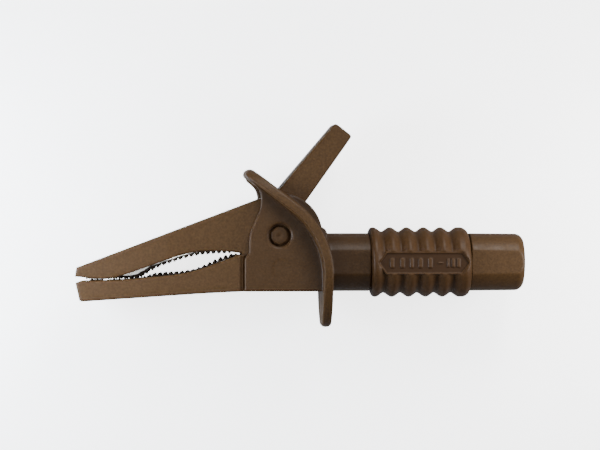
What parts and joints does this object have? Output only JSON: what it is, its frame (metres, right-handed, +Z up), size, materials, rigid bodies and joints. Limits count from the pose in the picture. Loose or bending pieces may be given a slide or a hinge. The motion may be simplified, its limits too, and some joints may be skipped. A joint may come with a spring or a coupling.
{
  "type": "alligator clip lead",
  "caption": "Fully insulated crocodile test clip with serrated metal-lined jaws, thumb lever, finger guard, ribbed grip and a shrouded 4 mm socket in its tail.",
  "frame": {"origin": "centre of the bounding box in plan, at the lowest point of the finger guard's rim, with the clip lying on its side", "axes": "+X towards the socket end, +Y towards the thumb lever, +Z up along the pivot; the clip's own middle plane is horizontal"},
  "size_m": [0.0824, 0.0374, 0.016],
  "materials": {
    "brown_plastic": "finely textured moulded polyamide, dark brown",
    "brown_grip": "ribbed grip, dark brown, slightly softer",
    "white_nylon": "natural nylon",
    "nickel_plate": "bright nickel-plated stamped brass",
    "spring_steel": "drawn wire and turned steel"
  },
  "bodies": {
    "housing": {"pivot_housing": "brown_plastic", "lower_jaw_shell": "brown_plastic", "lower_jaw_blade": "nickel_plate", "lower_blade_screw": "spring_steel", "socket_barrel": "brown_plastic", "grip_sleeve": "brown_grip", "socket_post": "brown_plastic", "socket_contact": "nickel_plate", "contact_lock_washer": "spring_steel", "tail_rivet_front": "nickel_plate", "tail_rivet_rear": "nickel_plate", "pivot_pin": "spring_steel", "pivot_cap_near": "brown_plastic", "pivot_cap_far": "brown_plastic", "spring_bush": "white_nylon", "torsion_spring": "spring_steel"},
    "jaw_lever": {"lever_shell": "brown_plastic", "upper_jaw_blade": "nickel_plate", "upper_blade_screw": "spring_steel"}
  },
  "joints": [
    {"name": "jaw_pivot", "type": "hinge", "parent": "housing", "child": "jaw_lever", "pos_m": [-0.00407, -0.00179, 0.008], "axis": [0, 0, -1], "range_deg": [0, 32], "stiffness_Nm_per_rad": 0.15, "springref_deg": -28.65, "deforming": ["torsion_spring"]}
  ]
}
